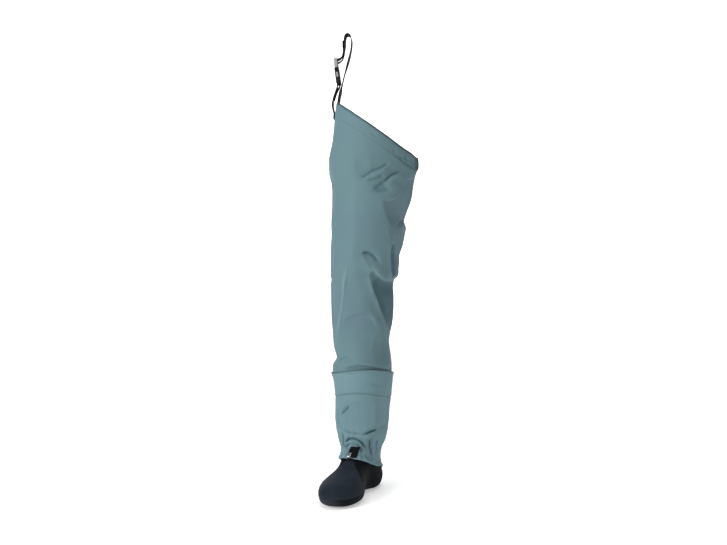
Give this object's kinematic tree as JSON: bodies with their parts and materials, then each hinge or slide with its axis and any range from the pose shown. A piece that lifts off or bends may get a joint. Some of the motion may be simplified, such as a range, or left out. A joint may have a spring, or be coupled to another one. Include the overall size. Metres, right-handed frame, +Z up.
{
  "type": "stockingfoot hip wader",
  "caption": "Hip-high fishing wader for the right leg: waterproof fabric leg with a slanted top and belt strap, gathered gravel guard with lace hook, and a neoprene sock foot.",
  "frame": {"origin": "on the floor under the axis of the ankle, on the flat of the heel", "axes": "+Z up, +X to the inner side of the leg, -Y to the front of the leg; the foot turns out 17 degrees to -X"},
  "size_m": [0.2106, 0.3336, 1.0419],
  "materials": {
    "shell_fabric": "matt laminated teal grey fabric",
    "guard_fabric": "matt laminated teal grey fabric",
    "elastic": "black elastic",
    "tab_webbing": "black webbing",
    "hook_metal": "bright metal",
    "sock_neoprene": "knit faced neoprene, nearly black",
    "sole_neoprene": "knit faced neoprene, nearly black",
    "belt_webbing": "black webbing",
    "anchor_webbing": "black webbing",
    "male_plastic": "grey moulded plastic",
    "female_plastic": "black moulded plastic"
  },
  "bodies": {
    "root": {"leg_shell": "shell_fabric", "gravel_guard": "guard_fabric", "hem_elastic": "elastic", "hook_tab": "tab_webbing", "lace_hook": "hook_metal", "bootie_upper": "sock_neoprene", "bootie_sole": "sole_neoprene", "belt_strap": "belt_webbing", "anchor_strap": "anchor_webbing", "buckle_male": "male_plastic", "buckle_female": "female_plastic"}
  },
  "joints": []
}
